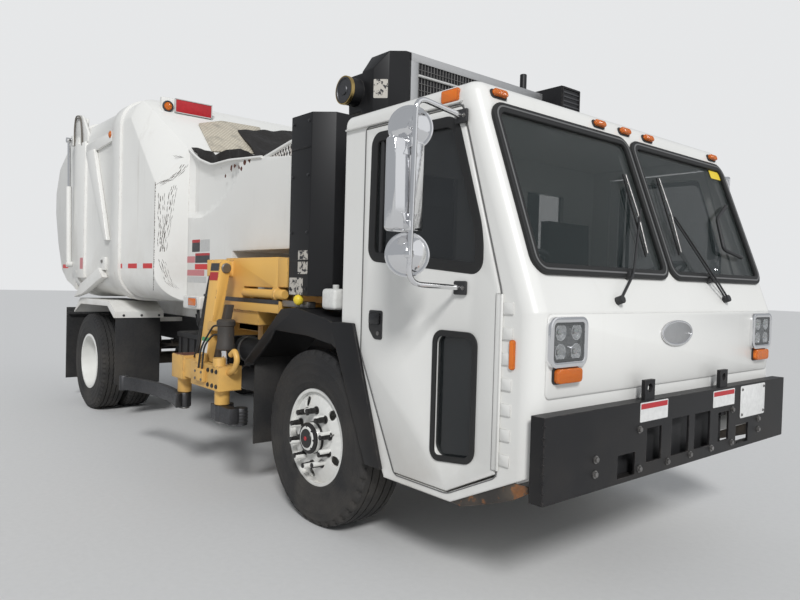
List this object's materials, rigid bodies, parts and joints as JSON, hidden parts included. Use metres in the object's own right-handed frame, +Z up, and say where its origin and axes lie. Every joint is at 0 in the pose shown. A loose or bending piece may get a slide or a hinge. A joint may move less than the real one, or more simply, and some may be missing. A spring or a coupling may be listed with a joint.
{
  "type": "side-arm refuse collection truck",
  "caption": "Forward-cab refuse collection truck with a side grabber arm, open hopper, tipping load body and lifting tailgate.",
  "frame": {"origin": "on the ground under the middle of the overall length and width", "axes": "+X forward, +Y to the vehicle's left, +Z up"},
  "size_m": [7.8, 3.18, 3.318],
  "materials": {
    "bare_steel": "dull",
    "black_paint": "satin",
    "cab_trim": "grained",
    "cast_metal": "matt",
    "flap_rubber": "matt",
    "lamp_lens": "clear",
    "mirror_chrome": "polished",
    "tank_metal": "dull",
    "tyre_rubber": "matt",
    "white_paint": "gloss, worn",
    "window_glass": "clear",
    "yellow_paint": "gloss, chipped"
  },
  "bodies": {
    "chassis": {"frame_rails": "black_paint", "frame_cross_members": "black_paint", "axles": "cast_metal", "leaf_springs": "cast_metal", "engine_block": "cast_metal", "side_tanks": "tank_metal", "front_bumper": "black_paint", "cab_shell": "white_paint", "window_panes": "window_glass", "lamps": "lamp_lens", "cab_interior": "cab_trim", "front_fenders": "black_paint", "rear_fenders": "white_paint", "mud_flaps": "flap_rubber", "exhaust_stack": "black_paint", "cooling_tower": "black_paint", "arm_base": "yellow_paint"},
    "load_body": {"storage_body": "white_paint", "hopper_tub": "white_paint"},
    "packer_paddle": {"packer_paddle": "bare_steel"},
    "tailgate": {"tailgate": "white_paint"},
    "hoist_barrel": {"hoist_barrel": "black_paint"},
    "hoist_rod": {"hoist_rod": "mirror_chrome"},
    "gate_barrels": {"gate_barrels": "white_paint"},
    "gate_rods": {"gate_rods": "mirror_chrome"},
    "arm_carriage": {"arm_carriage": "yellow_paint"},
    "lift_arm": {"lift_arm": "yellow_paint"},
    "finger_rear": {"grabber_finger_rear": "bare_steel"},
    "finger_front": {"grabber_finger_front": "bare_steel"},
    "door_right": {"door_right": "white_paint", "door_glass_right": "window_glass", "mirror_right": "mirror_chrome"},
    "knuckle_right": {"knuckle_right": "cast_metal"},
    "wheel_front_right": {"tyre_front_right": "tyre_rubber", "rim_front_right": "white_paint"},
    "wheels_rear_right": {"tyres_rear_right": "tyre_rubber", "rims_rear_right": "white_paint"},
    "door_left": {"door_left": "white_paint", "door_glass_left": "window_glass", "mirror_left": "mirror_chrome"},
    "knuckle_left": {"knuckle_left": "cast_metal"},
    "wheel_front_left": {"tyre_front_left": "tyre_rubber", "rim_front_left": "white_paint"},
    "wheels_rear_left": {"tyres_rear_left": "tyre_rubber", "rims_rear_left": "white_paint"}
  },
  "joints": [
    {"name": "steer_right", "type": "hinge", "parent": "chassis", "child": "knuckle_right", "pos_m": [2.13, -0.8, 0.533], "axis": [0, 0, 1], "range_deg": [-35, 35]},
    {"name": "wheel_front_right", "type": "hinge", "parent": "knuckle_right", "child": "wheel_front_right", "pos_m": [2.13, -1.04, 0.533], "axis": [0, 1, 0], "continuous": true},
    {"name": "wheels_rear_right", "type": "hinge", "parent": "chassis", "child": "wheels_rear_right", "pos_m": [-2.39, -0.752, 0.525], "axis": [0, 1, 0], "continuous": true},
    {"name": "door_right", "type": "hinge", "parent": "chassis", "child": "door_right", "pos_m": [3.628, -1.2063, 1.1], "axis": [0, 0, 1], "range_deg": [0, 80]},
    {"name": "steer_left", "type": "hinge", "parent": "chassis", "child": "knuckle_left", "pos_m": [2.13, 0.8, 0.533], "axis": [0, 0, 1], "range_deg": [-35, 35]},
    {"name": "wheel_front_left", "type": "hinge", "parent": "knuckle_left", "child": "wheel_front_left", "pos_m": [2.13, 1.04, 0.533], "axis": [0, 1, 0], "continuous": true},
    {"name": "wheels_rear_left", "type": "hinge", "parent": "chassis", "child": "wheels_rear_left", "pos_m": [-2.39, 0.752, 0.525], "axis": [0, 1, 0], "continuous": true},
    {"name": "door_left", "type": "hinge", "parent": "chassis", "child": "door_left", "pos_m": [3.628, 1.2063, 1.1], "axis": [0, 0, -1], "range_deg": [0, 80]},
    {"name": "body_tip", "type": "hinge", "parent": "chassis", "child": "load_body", "pos_m": [-3.02, 0, 1.12], "axis": [0, -1, 0], "range_deg": [0, 45]},
    {"name": "tailgate_lift", "type": "hinge", "parent": "load_body", "child": "tailgate", "pos_m": [-2.95, 0, 3.275], "axis": [0, 1, 0], "range_deg": [0, 80]},
    {"name": "packer_swing", "type": "hinge", "parent": "load_body", "child": "packer_paddle", "pos_m": [0.52, 0, 1.5], "axis": [0, 0, -1], "range_deg": [0, 150]},
    {"name": "hoist_swing", "type": "hinge", "parent": "chassis", "child": "hoist_barrel", "pos_m": [-1.34, 0, 0.77], "axis": [0, -1, 0], "range_deg": [-12.94, 0]},
    {"name": "hoist_slide", "type": "slide", "parent": "hoist_barrel", "child": "hoist_rod", "axis": [-0.925, 0, 0.3801], "range_m": [0, 0.43767]},
    {"name": "gate_cylinder_swing", "type": "hinge", "parent": "load_body", "child": "gate_barrels", "pos_m": [-2.925, 0, 1.6], "axis": [0, -1, 0], "range_deg": [0, 6.08]},
    {"name": "gate_cylinder_slide", "type": "slide", "parent": "gate_barrels", "child": "gate_rods", "axis": [-0.0589, 0, 0.9983], "range_m": [0, 0.27667]},
    {"name": "arm_reach", "type": "slide", "parent": "chassis", "child": "arm_carriage", "axis": [0, -1, 0], "range_m": [0, 1.2]},
    {"name": "arm_lift", "type": "hinge", "parent": "arm_carriage", "child": "lift_arm", "pos_m": [1.07, -1.29, 1.555], "axis": [-1, 0, 0], "range_deg": [0, 125]},
    {"name": "grab_rear", "type": "hinge", "parent": "lift_arm", "child": "finger_rear", "pos_m": [0.775, -1.42, 0.537], "axis": [0, 0, 1], "range_deg": [0, 95]},
    {"name": "grab_front", "type": "hinge", "parent": "lift_arm", "child": "finger_front", "pos_m": [1.39, -1.42, 0.537], "axis": [0, 0, -1], "range_deg": [0, 95]}
  ],
  "couplings": [
    {"joint": "steer_left", "follows": "steer_right", "ratio": 1},
    {"joint": "hoist_swing", "follows": "body_tip", "ratio": -0.27655},
    {"joint": "hoist_slide", "follows": "body_tip", "m_per_rad": 0.55089},
    {"joint": "gate_cylinder_swing", "follows": "tailgate_lift", "ratio": 0.06972},
    {"joint": "gate_cylinder_slide", "follows": "tailgate_lift", "m_per_rad": 0.19457},
    {"joint": "grab_front", "follows": "grab_rear", "ratio": 1}
  ]
}
